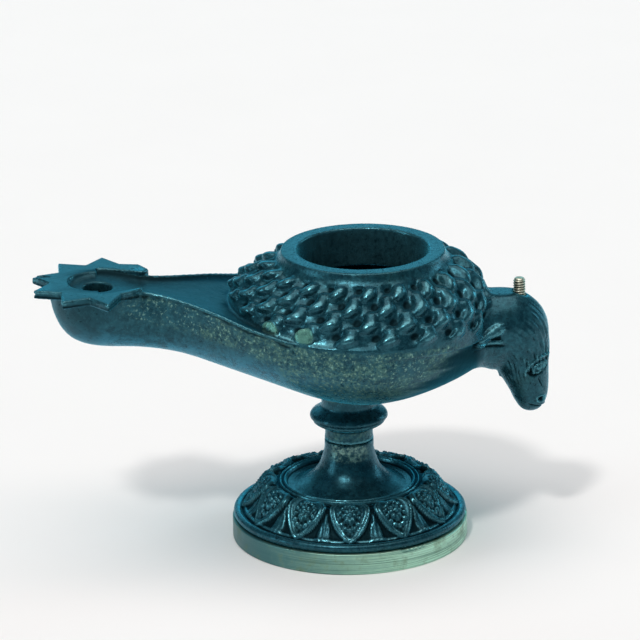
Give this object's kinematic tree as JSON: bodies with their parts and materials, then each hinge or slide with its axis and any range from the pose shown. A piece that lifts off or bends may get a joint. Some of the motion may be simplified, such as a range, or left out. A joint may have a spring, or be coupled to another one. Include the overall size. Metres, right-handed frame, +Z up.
{
  "type": "pedestal oil lamp",
  "caption": "Cast bronze oil lamp on a round pedestal foot, with a scaled shoulder, an open filling rim, a star-shaped wick nozzle and a bent-down animal's head.",
  "frame": {"origin": "centre of the underside of the base plate", "axes": "+Z up, +X from the nozzle towards the animal's head"},
  "size_m": [0.1677, 0.0874, 0.098],
  "materials": {
    "patinated_bronze": "dark blue-green patina, worn to olive brass on the high spots",
    "foot_bronze": "dark blue-green patina",
    "brass": "turned, dulled and stained",
    "stud_brass": "worn thread"
  },
  "bodies": {
    "root": {"lamp_body": "patinated_bronze", "foot": "foot_bronze", "base_plate": "brass", "handle_stud": "stud_brass"}
  },
  "joints": []
}
